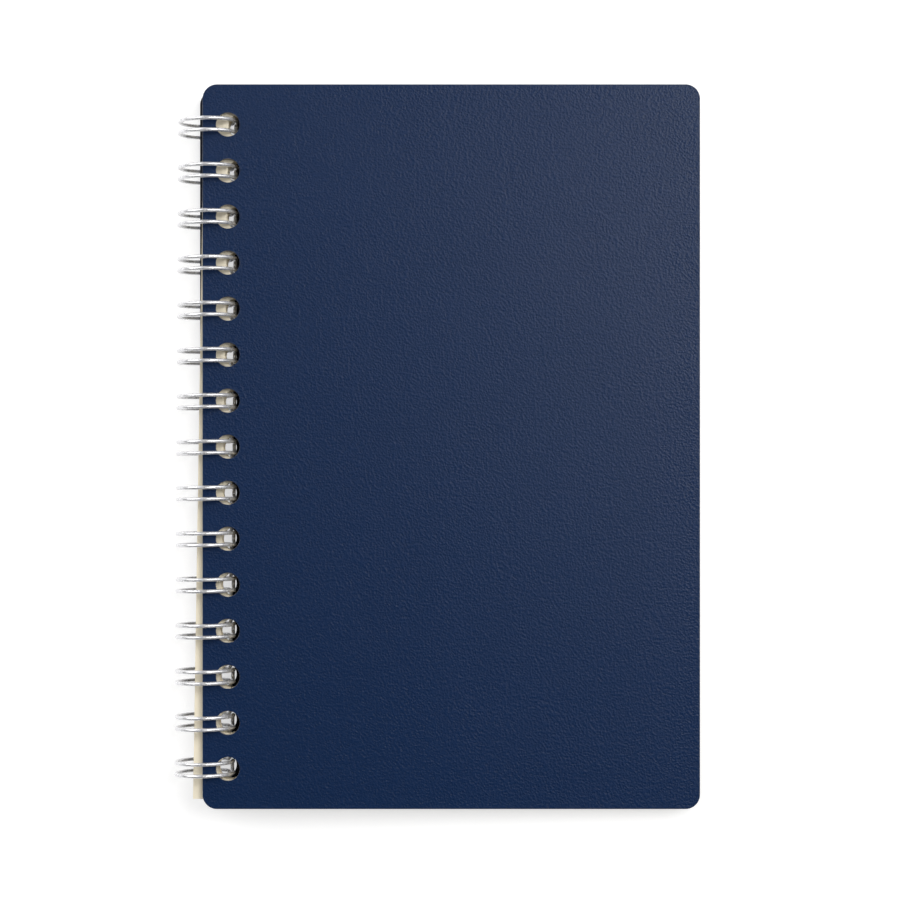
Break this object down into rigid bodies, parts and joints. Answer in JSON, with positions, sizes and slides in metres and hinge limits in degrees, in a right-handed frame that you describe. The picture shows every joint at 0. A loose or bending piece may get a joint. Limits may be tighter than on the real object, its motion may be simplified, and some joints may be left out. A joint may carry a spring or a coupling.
{
  "type": "wire-bound notebook",
  "caption": "Notebook with two stiff navy covers and cream sheets bound along the left edge on a twin-loop wire; both covers swing open on the loops.",
  "frame": {"origin": "middle of the closed notebook's bounding box in X and Y, on the table in Z", "axes": "+X from the wire spine to the fore edge, +Y from the tail edge to the head edge, +Z out of the front cover; the notebook lies on its back"},
  "size_m": [0.1458, 0.2, 0.017],
  "materials": {
    "cover": "navy grained cover paper on stiff card, soft sheen",
    "paper": "uncoated cream writing paper",
    "wire": "bright silver binding wire"
  },
  "bodies": {
    "bound_block": {"page_block": "paper", "wire_binding": "wire"},
    "front": {"front_cover": "cover"},
    "back": {"back_cover": "cover"}
  },
  "joints": [
    {"name": "front_cover_hinge", "type": "hinge", "parent": "bound_block", "child": "front", "pos_m": [-0.06414, 0, 0.00851], "axis": [0, -1, 0], "range_deg": [0, 180]},
    {"name": "back_cover_hinge", "type": "hinge", "parent": "bound_block", "child": "back", "pos_m": [-0.06399, 0, 0.00855], "axis": [0, 1, 0], "range_deg": [0, 180]}
  ]
}
